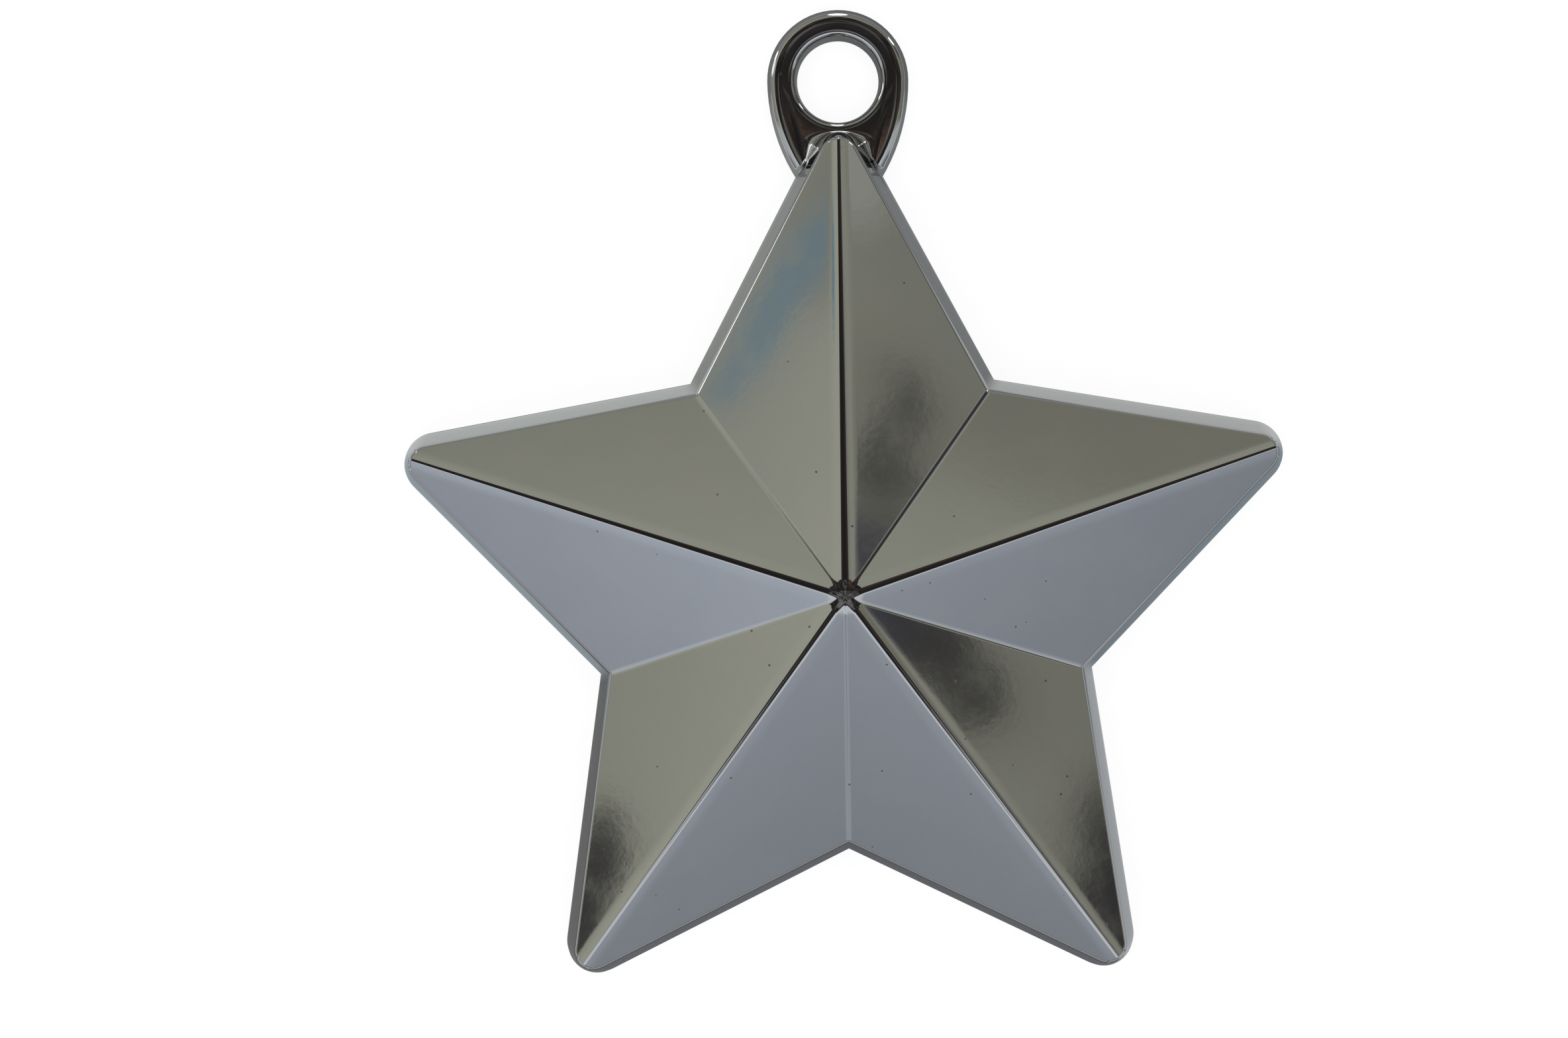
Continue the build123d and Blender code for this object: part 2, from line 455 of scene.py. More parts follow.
# %% [markdown]
# ## Rounded ridges and valleys
#
# A sharp edge between two mirrors reflects nothing and looks like paper. On the moulded star each ridge is
# a narrow rounded strip, which sweeps through the whole room and shows as a thin dark line, finer towards
# the end of the point. Beside it the facet curls down slowly, and the peak where the ridges meet is a soft
# dome. Each valley is hollowed in the same way. Blender's bevel would do it, but where a ridge runs out on
# the small round end of a point the bevel is wider than the faces that it meets. So the facet is cut into
# strips along the ridge and the valley, and the strips are lowered or raised onto an arc.

# %% Arcs and slow bends
ridge_rounding = 0.95 * mm
ridge_taper = 0.65
valley_rounding = 1.25 * mm
valley_inward = Vector((-cos(half_step), sin(half_step), 0.0))
ridge_slope = facet_normal.x / facet_normal.z
valley_slope = -facet_normal.dot(valley_inward) / facet_normal.z


def arc_width(slope, radius):
    return radius * sin(atan(slope))


def arc_lift(distance, slope, radius):
    """How far an arc leaves the corner between two slopes, at a distance from the corner."""
    if distance >= arc_width(slope, radius):
        return 0.0
    return radius / cos(atan(slope)) - sqrt(radius ** 2 - distance ** 2) - distance * slope


def dip(distance, width, slope, power):
    """A slow bend that starts at a width and reaches a slope at distance 0."""
    return slope * width / power * (1 - distance / width) ** power if distance < width else 0.0


ridge_width = arc_width(ridge_slope, ridge_rounding)
valley_width = arc_width(valley_slope, valley_rounding)
print("ridge strip", round(2 * ridge_width / mm, 2), "mm wide")

# %% Round the ridge and hollow the valley
strips = 5
curl_width = 1.8 * mm
curl_slope = 0.11
curl_taper = 0.8
apex_width = 2.2 * mm
apex_slope = 0.42
cut_tolerance = 1e-8


def cut_strips(bm, facet):
    """Cuts a facet along its ridge, its valley and round the peak, and returns the parts."""
    parts = [facet] + list(facet.edges) + list(facet.verts)
    narrowing = ridge_width * ridge_taper / point_radius
    from_ridge = Vector((1.0, 0.0, 0.0))
    along_ridge = Vector((0.0, 1.0, 0.0))
    for i in range(1, strips + 1):
        share = i / strips
        cuts = [
            (from_ridge * ridge_width * share, from_ridge + along_ridge * narrowing * share),
            (from_ridge * (ridge_width + (curl_width - ridge_width) * share), from_ridge),
            (valley_inward * valley_width * share, valley_inward),
            (along_ridge * apex_width * share, along_ridge),
        ]
        for place, normal in cuts:
            cut = bmesh.ops.bisect_plane(bm, geom=parts, dist=cut_tolerance, plane_co=place, plane_no=normal)
            parts = cut["geom"]
    return parts


def round_facet(bm, facet):
    faces = [part for part in cut_strips(bm, facet) if isinstance(part, bmesh.types.BMFace)]
    for vertex in {v for face in faces for v in face.verts}:
        to_ridge = abs(vertex.co.x)
        to_valley = abs(vertex.co.dot(valley_inward))
        outward_share = vertex.co.y / point_radius
        rounding = ridge_rounding * (1 - ridge_taper * outward_share)
        curl = curl_slope * (1 - curl_taper * outward_share)
        lowered = arc_lift(to_ridge, ridge_slope, rounding) + dip(to_ridge, curl_width, curl, 3)
        lowered += dip(vertex.co.xy.length, apex_width, apex_slope, 2)
        raised = arc_lift(to_valley, valley_slope, valley_rounding)
        vertex.co.z = facet_height(vertex.co.x, vertex.co.y) - lowered + raised


trial, facet = half_of_point()
round_facet(trial, facet)
print("with its ridge", len(trial.verts), "vertices", len(trial.faces), "faces")
trial.free()

# %% [markdown]
# ## The ribbon loop
#
# The loop is moulded with the top point: a ring that narrows to a root on the point's side. Its outline is
# made by spinning single vertices, round the hole for the crown and round a far centre for the flank. The
# outline is pulled down to give the loop its thickness, and its front and back are filled. Where it meets
# the star, a hollow leads from one surface to the other, as a mould maker's cutter leaves it.

# %% The hollow between the loop and the star's side
crown_rounding = 1.7 * mm
hole_rounding = 0.9 * mm
hole_draft = 0.3 * mm
blend_limit = 1.8 * mm
blend_share = 0.85
blend_steps = 6


def blend_radius(spot):
    """Radius of the hollow between the loop and the star's side: most of the room that is left there."""
    to_hole = (spot.xy - eye_centre.xy).length - eye_hole_radius - hole_draft - hole_rounding
    to_flank = flank_radius - (spot.xy - flank_centre.xy).length - crown_rounding
    return max(0.0, min(blend_share * to_hole, blend_share * to_flank, blend_limit))


def add_blend(bm, seam):
    """Lifts the seam up the star's side and lets it down again in a quarter circle."""
    edges = [e for e in bm.edges if set(e.verts) <= set(seam)]
    radii = [blend_radius(v.co) for v in seam]
    tops = [rim_line(side_inset)[i + 1] for i in range(len(seam))]
    rises = [r / (facet_height(top.x, top.y) - eye_high) for r, top in zip(radii, tops)]
    insets = [belly_inset + (side_inset - belly_inset) * rise for rise in rises]
    for k in range(blend_steps + 1):
        if k > 0:
            line, edges = pull_out(bm, edges)
            seam = sorted(line, key=along_y)
        angle = pi / 2 * k / blend_steps
        for i, vertex in enumerate(seam):
            spot = rim_line(insets[i] - radii[i] * (1 - cos(angle)))[i + 1]
            vertex.co = (spot.x, spot.y, eye_high + radii[i] * (1 - sin(angle)))


print("hollow of up to", round(blend_limit / mm, 1), "mm")

# %% Outline of the loop
close = 1e-7
weld = 1e-6
up_axis = (0.0, 0.0, 1.0)
crown_steps = 16
flank_steps = 10
hole_steps = 32


def near(vertex, level):
    return abs(vertex.co.z - level) < close


def at_level(part, level):
    return all(near(v, level) for v in part.verts)


def by_hole(vertex):
    return (vertex.co.xy - eye_centre.xy).length < eye_hole_radius + 2 * hole_draft


def add_outline(bm):
    """The loop's outline and hole at its front, and below them at its back."""
    old = set(bm.edges)
    crown = bm.verts.new((eye_outer_radius, eye_centre.y, eye_high))
    hole = bm.verts.new((0.0, eye_centre.y - eye_hole_radius - hole_draft, eye_high))
    arcs = [
        (crown, eye_centre, pi / 2, crown_steps),
        (crown, flank_centre, -flank_turn(belly_inset), flank_steps),
        (hole, eye_centre, pi, hole_steps),
    ]
    for start, centre, angle, steps in arcs:
        bmesh.ops.spin(bm, geom=[start], cent=centre, axis=up_axis, angle=angle, steps=steps)

    back, _ = pull_out(bm, [e for e in bm.edges if e not in old])
    for vertex in back:
        vertex.co.z = eye_low
        if by_hole(vertex):
            reach = vertex.co.xy - eye_centre.xy
            vertex.co.xy = eye_centre.xy + reach.normalized() * eye_hole_radius
    min(back, key=along_y).co = rim_line(foot_inset)[1].to_3d() + Vector((0.0, 0.0, eye_low))
    bmesh.ops.remove_doubles(bm, verts=bm.verts, dist=weld)


print("hole", round(2 * eye_hole_radius / mm, 1), "mm wide")


# %% Half of the loop, on half of the top point
def add_loop(bm):
    root_y = rim_line(belly_inset)[1].y
    band = [f for f in bm.faces if all(near(v, eye_low) or near(v, eye_high) for v in f.verts)]
    window = [f for f in band if all(v.co.y > root_y - close for v in f.verts)]
    bmesh.ops.delete(bm, geom=window, context="FACES")
    seam = [v for v in bm.verts if near(v, eye_high) and v.co.y > root_y - close]
    add_blend(bm, sorted(seam, key=along_y))
    add_outline(bm)

    for level in (eye_high, eye_low):
        middle = [v for v in bm.verts if abs(v.co.x) < close and near(v, level) and v.co.y > root_y]
        middle.sort(key=along_y)
        bm.edges.new(middle[0:2])
        bm.edges.new(middle[2:4])
        flat = [e for e in bm.edges if at_level(e, level)]
        border = [e for e in flat if min(v.co.y for v in e.verts) > root_y - mm]
        bmesh.ops.edgeloop_fill(bm, edges=border)


trial, _ = half_of_point()
add_loop(trial)
print("with the loop", len(trial.verts), "vertices", len(trial.faces), "faces")
trial.free()

# %% [markdown]
# ## The whole front
#
# The top point with its loop is mirrored, and the other four points are copies of a plain one. Once the
# seams are merged, the edges that a mould rounds are found by what they are, not by number: the rim lies
# between a facet and a side, the foot between a side and the back, and the loop's edges are convex at its
# front or back.

# %% Join the five points
seam_weld = 2e-6


def all_parts(bm):
    return bm.verts[:] + bm.edges[:] + bm.faces[:]


def mirror_across(bm):
    bmesh.ops.mirror(bm, geom=all_parts(bm), axis="X", merge_dist=weld)


def open_edges(bm):
    return [e for e in bm.edges if len(e.link_faces) != 2]


star = bmesh.new()
for i in range(point_count):
    half, facet = half_of_point()
    round_facet(half, facet)
    if i == 0:
        add_loop(half)
    mirror_across(half)
    point = bpy.data.meshes.new("point")
    half.to_mesh(point)
    half.free()
    point.transform(Matrix.Rotation(2 * pi * i / point_count, 4, "Z"))
    star.from_mesh(point)
    bpy.data.meshes.remove(point)
bmesh.ops.remove_doubles(star, verts=star.verts, dist=seam_weld)
bmesh.ops.recalc_face_normals(star, faces=star.faces)
print("star", len(star.faces), "faces,", len(open_edges(star)), "open edges")

# %% Round the moulded edges
rim_rounding = 0.42 * mm
foot_rounding = 0.4 * mm


def bevel(bm, edges, width, segments):
    bmesh.ops.bevel(
        bm, geom=edges, offset=width, offset_type="OFFSET", segments=segments, profile=0.5,
        affect="EDGES", clamp_overlap=False, material=-1,
    )
    bm.normal_update()


def outward(face):
    middle = face.calc_center_median()
    return face.normal.x * middle.x + face.normal.y * middle.y > 0


def is_facet(face):
    return face.normal.z > 0.5 and face.calc_center_median().z > side_height - mm


def is_side(face):
    return abs(face.normal.z) < 0.4 and outward(face)


def is_back(face):
    return face.normal.z < -0.9


def between(edge, first, second):
    a, b = edge.link_faces
    return (first(a) and second(b)) or (first(b) and second(a))


rim = [e for e in star.edges if between(e, is_facet, is_side)]
bevel(star, rim, rim_rounding, 4)
foot = [e for e in star.edges if at_level(e, 0.0) and between(e, is_side, is_back)]
bevel(star, foot, foot_rounding, 3)
print("rim", len(rim), "edges, foot", len(foot), "edges")

# %% Round the loop
loop_start = 48.0 * mm
loop_back_rounding = 0.7 * mm
sharp_turn = 0.4


def corners_at(bm, level):
    return [e for e in bm.edges if at_level(e, level) and e.calc_face_angle() > sharp_turn]


def loop_edges(level):
    on_loop = [e for e in star.edges if at_level(e, level) and min(v.co.y for v in e.verts) > loop_start]
    return [e for e in on_loop if e.calc_face_angle() > sharp_turn and e.is_convex]


def hole_edge(edge):
    return all(by_hole(v) for v in edge.verts)


bevel(star, [e for e in loop_edges(eye_high) if not hole_edge(e)], crown_rounding, 6)
bevel(star, [e for e in loop_edges(eye_high) if hole_edge(e)], hole_rounding, 5)
bevel(star, loop_edges(eye_low), loop_back_rounding, 3)
print("star", len(star.faces), "faces after rounding")


# %% Keep the front as a piece
def keep_piece(bm, name, material, node):
    mesh = bpy.data.meshes.new(name)
    bm.to_mesh(mesh)
    bm.free()
    mesh.shade_smooth()
    mesh.materials.append(material)
    piece = bpy.data.objects.new(name, mesh)
    scene.collection.objects.link(piece)
    even = piece.modifiers.new("even_normals", "WEIGHTED_NORMAL")
    even.mode = "FACE_AREA"
    even.weight = 50
    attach(piece, "root")
    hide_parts(node)
    print(name, len(mesh.polygons), "faces")


keep_piece(star, "front_shell_skin", front_plating, "front_shell")

# %% [markdown]
# ## The back cover
#
# A flat star closes the back. Its edge drops into a seat in the front, a rib and five pins hold it in place
# for gluing, and a short neck round the filler hole takes the plug. The outline is the same rim line as
# before, moved in. So the edge, the rib and the ledge between them are one line that is pulled through six
# stations, mirrored, and copied round the centre with a spin. The neck and the pins are turned parts, and a
# triangle fill closes the flat faces round them. Booleans would join all this too, but they leave slivers
# that a mirror finish shows.

# %% Edge and rib of the cover
fit_gap = 0.12 * mm
cover_inset = lip + fit_gap
cover_thickness = 1.8 * mm
rib_top = cover_thickness + 2.6 * mm
rib_inset = wall + lean * rib_top + fit_gap
rib_inside = rib_inset + 1.2 * mm
cover_stations = [
    (cover_inset, cover_thickness),
    (rib_inset, cover_thickness),
    (rib_inset, rib_top),
    (rib_inside, rib_top),
    (rib_inside, cover_thickness),
]

cover = bmesh.new()
line_through(cover, rim_line(cover_inset))
pull_through(cover, cover_stations)
mirror_across(cover)
bmesh.ops.spin(
    cover, geom=all_parts(cover), cent=(0.0, 0.0, 0.0), axis=up_axis,
    angle=2 * pi * (point_count - 1) / point_count, steps=point_count - 1, use_duplicate=True,
)
bmesh.ops.remove_doubles(cover, verts=cover.verts, dist=seam_weld)
print("edge and rib", len(cover.faces), "faces")


# %% Neck of the cover
def turned(bm, centre, profile, steps):
    """Spins a profile of radius and height round an upright axis."""
    x, y = centre
    line = line_through(bm, [(x + radius, y, level) for radius, level in profile])
    edges = [e for e in bm.edges if set(e.verts) <= set(line)]
    bmesh.ops.spin(
        bm, geom=line + edges, cent=(x, y, 0.0), axis=up_axis, angle=2 * pi, steps=steps, use_merge=True,
    )


filler = (0.0, -16.0 * mm)
filler_radius = 5.5 * mm
filler_steps = 64
flange_radius = 6.9 * mm
flange_low = 0.3 * mm
flange_top = 1.3 * mm
neck_top = cover_thickness + 4.0 * mm
neck_radius = 8.2 * mm
counterbore = flange_radius + fit_gap
neck_profile = [
    (counterbore, 0.0),
    (counterbore, flange_top),
    (filler_radius, flange_top),
    (filler_radius, neck_top),
    (neck_radius, neck_top),
    (neck_radius, cover_thickness),
]
turned(cover, filler, neck_profile, filler_steps)
print("with the neck", len(cover.faces), "faces")

# %% Pins of the cover
pin_circle = 36.0 * mm
pin_radius = 1.5 * mm
pin_chamfer = 0.4 * mm
pin_top = cover_thickness + 6.5 * mm
pin_steps = 20
pin_profile = [
    (pin_radius, cover_thickness),
    (pin_radius, pin_top - pin_chamfer),
    (pin_radius - pin_chamfer, pin_top),
    (0.0, pin_top),
]
for i in range(point_count):
    angle = pi / 2 + 2 * pi * i / point_count
    turned(cover, (pin_circle * cos(angle), pin_circle * sin(angle)), pin_profile, pin_steps)
bmesh.ops.remove_doubles(cover, verts=cover.verts, dist=weld)
print("with the pins", len(cover.faces), "faces")

# %% Close and round the cover
cover_rounding = 0.3 * mm

for level in (0.0, cover_thickness):
    borders = [e for e in cover.edges if len(e.link_faces) == 1 and at_level(e, level)]
    bmesh.ops.triangle_fill(cover, edges=borders, use_beauty=True)
bmesh.ops.recalc_face_normals(cover, faces=cover.faces)
print("cover", len(cover.faces), "faces,", len(open_edges(cover)), "open edges")

bevel(cover, corners_at(cover, 0.0), cover_rounding, 4)
cover_plating = plating("cover_plating", wave_height=0.010 * mm, haze=0.07, scuffs=1.0)
keep_piece(cover, "back_cover_skin", cover_plating, "back_cover")

# %% [markdown]
# ## The plug
#
# A soft push-in plug closes the filler hole: a thin flange that sits just below the back, a hollow stem,
# and a bead that snaps behind the neck. It is round all over, so one profile is spun about the hole's axis.

# %% Filler plug
stem_radius = filler_radius - 0.04 * mm
stem_inside = stem_radius - 1.1 * mm
bead_low = neck_top + fit_gap
bead_reach = 0.35 * mm
bead_top = bead_low + 1.6 * mm
plug_rounding = 0.22 * mm
plug_profile = [
    (0.0, flange_low),
    (flange_radius, flange_low),
    (flange_radius, flange_top),
    (stem_radius, flange_top),
    (stem_radius, bead_low),
    (filler_radius + bead_reach, bead_low + bead_reach),
    (stem_radius - bead_reach, bead_top),
    (stem_inside, bead_top),
    (stem_inside, flange_top),
    (0.0, flange_top),
]

plug = bmesh.new()
turned(plug, filler, plug_profile, filler_steps)
bmesh.ops.remove_doubles(plug, verts=plug.verts, dist=weld)
bmesh.ops.recalc_face_normals(plug, faces=plug.faces)
bevel(plug, corners_at(plug, flange_low) + corners_at(plug, bead_top), plug_rounding, 4)
keep_piece(plug, "filler_plug_skin", plug_plastic, "filler_plug")

# %% [markdown]
# ## The floor
#
# The star lies on white card. Card that is only lit comes out grey, and more light would burn out the star.
# So the card also glows by itself, towards the camera and in reflections, up to plain white, and keeps a
# small lit part that the star's shadow falls on. The steep sides of the star reflect only the few
# millimetres of card beside them, and the picture shows a different tone on each side. So in reflections
# only, the card carries painted shade and light: a painted tone beside each of the ten sides, a painted
# shadow round the loop, and white further out.
# Seen from below it is clear, so that the back can be looked at, and rays that have just left the back pass
# through it too.

# %% White floor
floor_half = 20.0
floor_drop = Matrix.Translation((0.0, 0.0, -0.1 * mm))

floor_mesh = bpy.data.meshes.new("floor")
bm = bmesh.new()
bmesh.ops.create_grid(bm, x_segments=1, y_segments=1, size=floor_half, matrix=floor_drop)
bm.to_mesh(floor_mesh)
bm.free()
floor = bpy.data.objects.new("floor", floor_mesh)
scene.collection.objects.link(floor)
print("made", floor.name)

# %% Painted shade and light that the card shows in reflections
white_card, kit = new_material("white_card")
rays = kit.node("ShaderNodeLightPath")
to_camera = rays.out("Is Camera Ray")
bounced = rays.out("Is Glossy Ray") + rays.out("Is Transmission Ray") + rays.out("Is Diffuse Ray")
card_x, card_y, _ = kit.parts(kit.node("ShaderNodeTexCoord").out("Object"))

# The bearing at which each side of the star begins, round from the left point, and the painted shade
# that the card shows there in reflections: dark beside some sides, light beside others
painted_side_shading = [
    (-162.0, rgb(0.14, 0.14, 0.14)),
    (-126.0, rgb(0.08, 0.09, 0.11)),
    (-90.0, rgb(0.06, 0.07, 0.09)),
    (-54.0, rgb(0.62, 0.66, 0.70)),
    (-18.0, rgb(0.24, 0.31, 0.37)),
    (18.0, rgb(0.86, 0.90, 0.89)),
    (54.0, rgb(0.29, 0.31, 0.32)),
    (90.0, rgb(0.46, 0.48, 0.46)),
    (126.0, rgb(0.90, 0.95, 0.94)),
    (162.0, rgb(0.43, 0.52, 0.59)),
]
soft_border = 2.0
card_bearing = degrees(1.0) * kit.math("ARCTAN2", card_y, card_x)
side_shading = painted_side_shading[-1][1]
for start, tone in painted_side_shading:
    side_shading = kit.blend(kit.step(card_bearing, start - soft_border, start + soft_border), side_shading, tone)
# The painted shade fades out to plain white card far from the star
far = kit.step(card_x * card_x + card_y * card_y, (75.0 * mm) ** 2, (130.0 * mm) ** 2)
card_painted_tone = kit.blend(to_camera, kit.blend(far, side_shading, white), white)
print("card has", len(painted_side_shading), "tones")

# %% Finish of the card
glow_level = 0.88
reflected_level = 0.62
painted_loop_shadow = 0.55
skipped_length = 1.5 * mm

# Painted shadow of the loop: in reflections the card glows less round the loop
loop_shadow_mask = kit.step(card_y, 57.0 * mm, 63.0 * mm)
strength = glow_level * (to_camera + reflected_level * bounced * (1.0 - painted_loop_shadow * loop_shadow_mask))
card = kit.node("ShaderNodeBsdfDiffuse", None, {"Color": rgb(0.16, 0.16, 0.16)})
glow = kit.node("ShaderNodeEmission", None, {"Color": card_painted_tone, "Strength": strength})
lit = kit.node("ShaderNodeAddShader", None, {0: card.out("BSDF"), 1: glow.out("Emission")})
clear = kit.node("ShaderNodeBsdfTransparent")
from_below = kit.node("ShaderNodeNewGeometry").out("Backfacing")
passing = kit.math("MAXIMUM", from_below, rays.out("Ray Length") < skipped_length)
either = kit.node("ShaderNodeMixShader", None, {0: passing, 1: lit.out("Shader"), 2: clear.out("BSDF")})
kit.node("ShaderNodeOutputMaterial", None, {"Surface": either.out("Shader")})
floor_mesh.materials.append(white_card)
print("made", white_card.name)

# %% [markdown]
# ## The room
#
# Chrome has no look of its own, so the room is the larger part of this picture. Ten flat facets act as ten
# small mirrors, and each shows only a few degrees of the room. It could be built from cards and lamps. A
# world that depends on the direction does the same with less: a beige room above the star, blue-grey
# daylight below it, and a greyer band along the horizon. Small shapes stand on the walls where the facets
# pick them up. A dark ceiling makes the thin lines of the ridges and the black of the loop, and a few
# bright windows low down make the sparkles. To the camera itself all of this is white.

# %% Directions in the room
world = bpy.data.worlds.new("room")
scene.world = world
world.use_nodes = True
kit = Kit(world.node_tree)

towards = kit.node("ShaderNodeTexCoord").out("Generated")
to_right, to_top, to_zenith = kit.parts(towards)
bearing = degrees(1.0) * kit.math("ARCTAN2", to_top, to_right)
height = degrees(1.0) * kit.math("ARCSINE", to_zenith)
drift = kit.noise(towards, 75.0, 4.0, 0.62)
drift_across = kit.noise(towards, 58.0, 4.0, 0.62)


def spot(at_bearing, at_height, length, width, tilt=0.0, wander=0.0):
    """1 inside an oval of the room and 0 outside it; sizes in degrees, with an edge that wanders."""
    u = bearing - at_bearing + wander * (drift - 0.5)
    v = height - at_height + wander * (drift_across - 0.5)
    along = (u * cos(radians(tilt)) + v * sin(radians(tilt))) * (1.0 / length)
    across = (v * cos(radians(tilt)) - u * sin(radians(tilt))) * (1.0 / width)
    return 1.0 - kit.step(along * along + across * across, 0.25, 1.0)


print("room has", len(world.node_tree.nodes), "nodes so far")

# %% Walls, daylight and horizon
beige = rgb(0.378, 0.378, 0.318)
daylight = rgb(0.445, 0.480, 0.545)
sill = rgb(0.62, 0.65, 0.68)
bright = rgb(0.82, 0.85, 0.90)
grey = rgb(0.29, 0.295, 0.285)
slate = rgb(0.15, 0.16, 0.175)

room = kit.blend(1.0 - kit.step(to_top, -0.40, -0.14), beige, daylight)
horizon = kit.blend(kit.step(to_top, -0.35, 0.05), slate, grey)
room = kit.blend(1.0 - kit.step(height, 2.0, 16.0), room, horizon)
clouds = kit.step(kit.noise(towards, 5.0, 2.0), 0.35, 0.65)
room = kit.blend((1.0 - kit.step(height, -24.0, -6.0)) * clouds, room, bright)

lift = 0.83 + 0.29 * kit.step(height - 1.6 * to_top, 24.3, 28.3)
sided = kit.step(to_top, -0.80, -0.66)
level = lift * (0.86 + sided * (0.14 - 0.2 * to_right))
scaled = {"Vector": room, "Scale": level}
room = kit.node("ShaderNodeVectorMath", {"operation": "SCALE"}, scaled).out("Vector")

from_sill = to_top + 0.27
room = kit.blend(0.8 * (1.0 - kit.step(from_sill * from_sill, 0.002, 0.014)), room, sill)
daylight_side = 1.0 - kit.step(to_top, -0.45, -0.15)
room = kit.blend(0.9 * kit.step(height, 26.5, 39.0) * daylight_side, room, bright)
print("walls done,", len(world.node_tree.nodes), "nodes")

# %% Shapes on the walls
shade = rgb(0.045, 0.042, 0.045)
navy = rgb(0.060, 0.062, 0.088)
dusk = rgb(0.055, 0.055, 0.072)
haze = rgb(0.375, 0.405, 0.460)
dim = rgb(0.190, 0.185, 0.150)
sky = rgb(0.200, 0.310, 0.380)
pale = rgb(0.42, 0.43, 0.39)
wisps = 0.45 + 0.55 * kit.step(drift_across, 0.40, 0.60)

shapes = [
    (spot(-90.0, 32.5, 12.0, 4.5), haze),
    (spot(76.3, 26.3, 5.0, 2.0, 0.0, 0.4) * 0.45, dim),
    (spot(149.0, 26.5, 2.4, 1.0, 0.0, 0.4) * 0.4, dim),
    (spot(27.0, 27.2, 2.6, 1.4, 0.0, 0.6) * 0.35, dim),
    (spot(27.0, 27.45, 1.8, 0.62, -35.0, 2.0) * wisps * 0.9, shade),
    (spot(26.4, 28.2, 1.2, 0.8, 0.0, 0.5) * 0.7, navy),
    (spot(30.9, 26.1, 1.3, 0.7, 0.0, 0.4) * 0.8, pale),
    (spot(151.0, 26.22, 1.9, 0.32, -8.0, 0.5) * 0.9, sky),
    (spot(149.6, 27.9, 1.0, 0.7, 0.0, 0.3), sky),
    (spot(28.0, 12.0, 9.0, 9.0) * 0.8, dusk),
    (spot(177.2, 25.35, 1.35, 0.55, 0.0, 0.9), shade),
    (spot(2.2, 25.35, 2.3, 0.80, -6.0, 1.0), shade),
    (spot(5.4, 26.6, 1.6, 1.0, 20.0, 0.8) * 0.4, dim),
    (spot(6.2, 27.2, 1.7, 1.0, 25.0, 2.0) * wisps * 0.95, shade),
    (spot(6.6, 27.9, 1.5, 0.8, 0.0, 0.5) * 0.7, navy),
    (spot(46.0, 31.8, 21.0, 4.8, 0.0, 1.5), dusk),
    (spot(-3.0, 29.6, 8.0, 2.0, 0.0, 0.8) * 0.9, navy),
    (spot(8.0, 30.4, 7.0, 2.4, 0.0, 1.5) * 0.7, dim),
]
for share, colour in shapes:
    room = kit.blend(share, room, colour)
print(len(shapes), "shapes,", len(world.node_tree.nodes), "nodes")

# %% [markdown]
# ## Ceiling and windows
#
# A ridge, a rim or the loop sweeps through the whole ceiling within a millimetre, so the ceiling sets how
# dark the fine lines are. An even black looks drawn. A real ceiling has wooden parts near the walls, some
# plaster, and here a paler panel of glass towards the daylight, and all of it has soft borders. The windows
# are much brighter than anything else, because only a very small part of the metal ever shows them.

# %% Ceiling
dark = rgb(0.022, 0.020, 0.020)
plaster = rgb(0.155, 0.151, 0.147)
glass = rgb(0.270, 0.275, 0.280)
wood = rgb(0.170, 0.102, 0.068)

beams = kit.noise(towards, 7.0, 1.0)
wooden = 0.7 * kit.step(beams, 0.46, 0.78) * (1.0 - kit.step(to_zenith, 0.74, 0.86))
hatch = kit.step(0.066 - to_top, 0.0, 0.014) * kit.step(to_zenith, 0.99, 0.995)
wooden = wooden + hatch * kit.step(kit.noise(towards, 110.0, 2.0), 0.46, 0.62)
smoke = kit.step(kit.noise(towards, 4.0, 1.5), 0.40, 0.66)
high_up = 0.12 + 0.88 * kit.step(to_zenith, 0.84, 0.92)
off_centre = 1.0 - kit.step(to_zenith, 0.9945, 0.998)
ceiling = kit.blend(smoke * high_up * off_centre, dark, plaster)
ceiling = kit.blend(wooden, ceiling, wood)
panel = kit.step(to_zenith, 0.93, 0.97) * (1.0 - kit.step(to_top, 0.0, 0.035))
ceiling = kit.blend(panel * (0.4 + 0.6 * smoke), ceiling, glass)

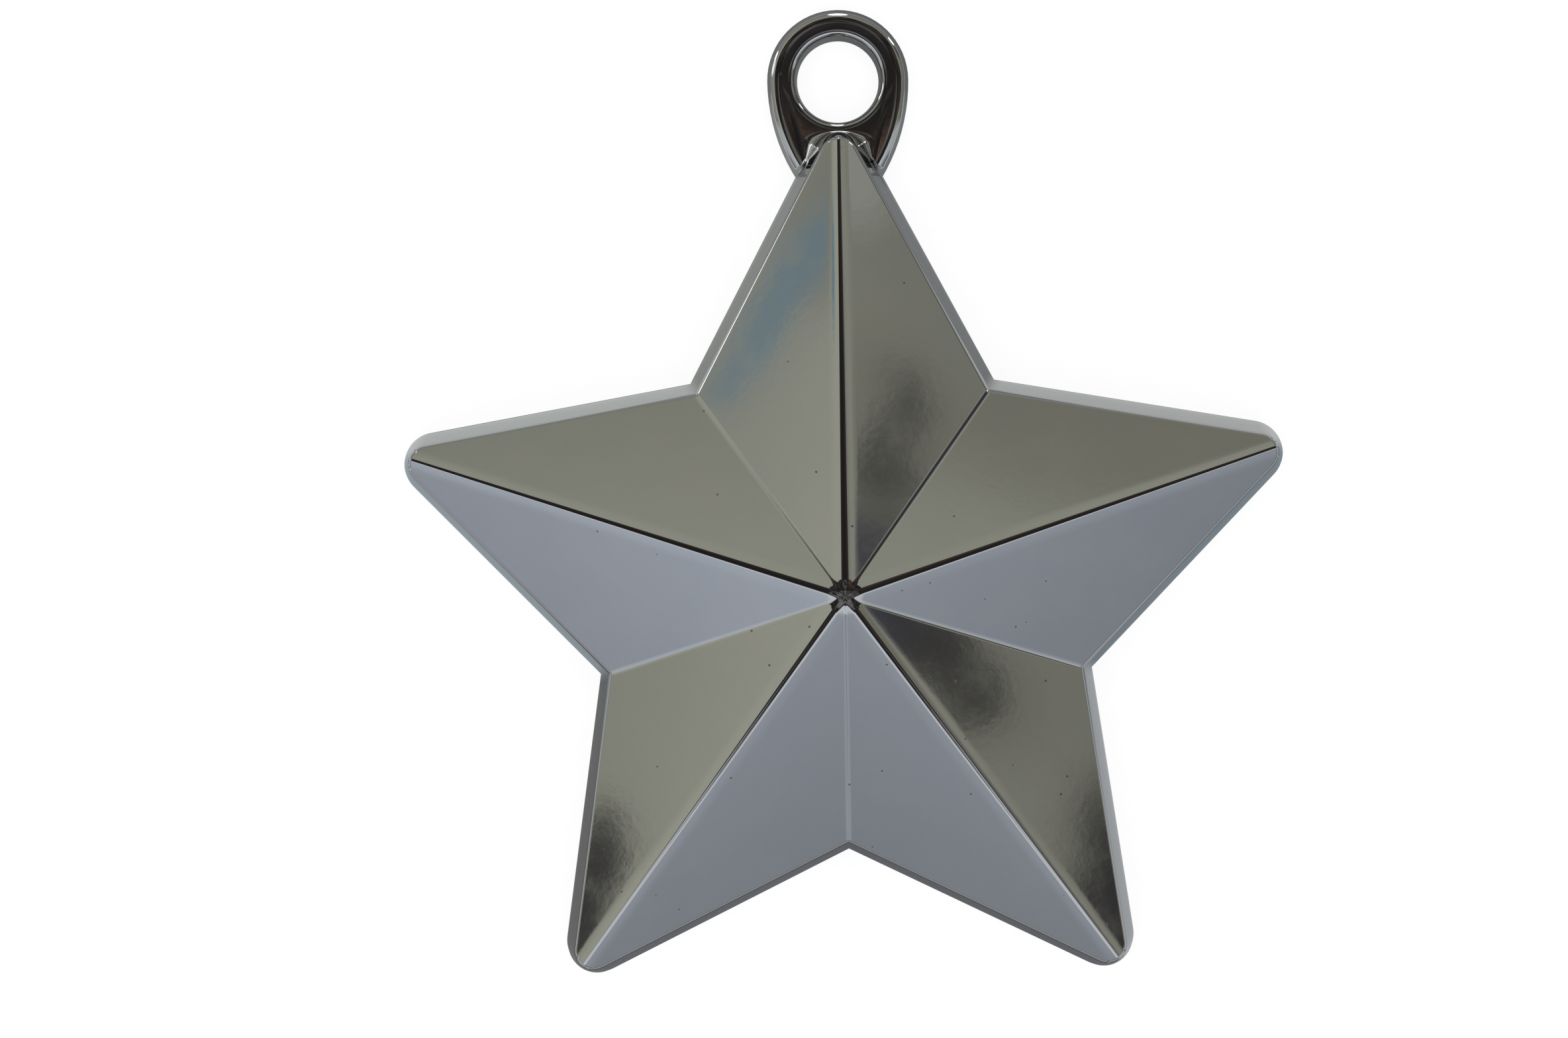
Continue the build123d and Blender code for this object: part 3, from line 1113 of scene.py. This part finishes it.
lower_edge = 0.540 + 0.27 * (1.0 - kit.step(to_top, -0.36, 0.0))
above_edge = to_zenith - lower_edge + 0.03 * (beams - 0.5)
room = kit.blend(kit.step(above_edge, -0.006, 0.022), room, ceiling)
print("ceiling done,", len(world.node_tree.nodes), "nodes")

# %% Windows, and white for the camera
doorway_light = rgb(1.45, 1.50, 1.52)
window_light = rgb(4.6, 4.7, 4.7)

room = kit.blend(spot(164.0, 8.0, 9.5, 16.0), room, doorway_light)
windows = spot(154.0, -2.0, 5.2, 14.0) + spot(89.0, 4.0, 9.0, 16.0) + spot(38.0, 2.0, 5.0, 10.0)
room = kit.blend(kit.math("MINIMUM", windows, 1.0), room, window_light)

seen = kit.node("ShaderNodeLightPath").out("Is Camera Ray")
room = kit.blend(seen, room, white)
backdrop = kit.node("ShaderNodeBackground", None, {"Color": room, "Strength": 1.0})
kit.node("ShaderNodeOutputWorld", None, {"Surface": backdrop.out("Background")})
print("room has", len(world.node_tree.nodes), "nodes")

# %% [markdown]
# ## One lamp
#
# The room lights the metal, but a soft shadow under the star needs a lamp. A sun from straight above with a
# wide angle gives one without a hard edge. It is kept out of the reflections, where it would be a white
# disc.

# %% One soft lamp
lamp_data = bpy.data.lights.new("overhead", "SUN")
lamp_data.energy = 2.0
lamp_data.angle = radians(50.0)
lamp = bpy.data.objects.new("overhead", lamp_data)
scene.collection.objects.link(lamp)
lamp.visible_glossy = False
print("made", lamp.name)

# %% [markdown]
# ## The solids and the view
#
# The solids of the engineering model get the same finishes as the pieces that stand for them, and the sand,
# which has no piece of its own, gets its material here. The Standard view shows colours as they are
# written, where the filmic views would dull the white card.

# %% Finish of the solids
finishes = {
    "front_shell": front_plating,
    "back_cover": cover_plating,
    "filler_plug": plug_plastic,
    "sand_fill": sand,
}
for name, material in finishes.items():
    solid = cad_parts[name]
    solid.data.materials.clear()
    solid.data.materials.append(material)
print("finished", sorted(finishes))

# %% View settings
scene.view_settings.view_transform = "Standard"
print("view", scene.view_settings.view_transform)
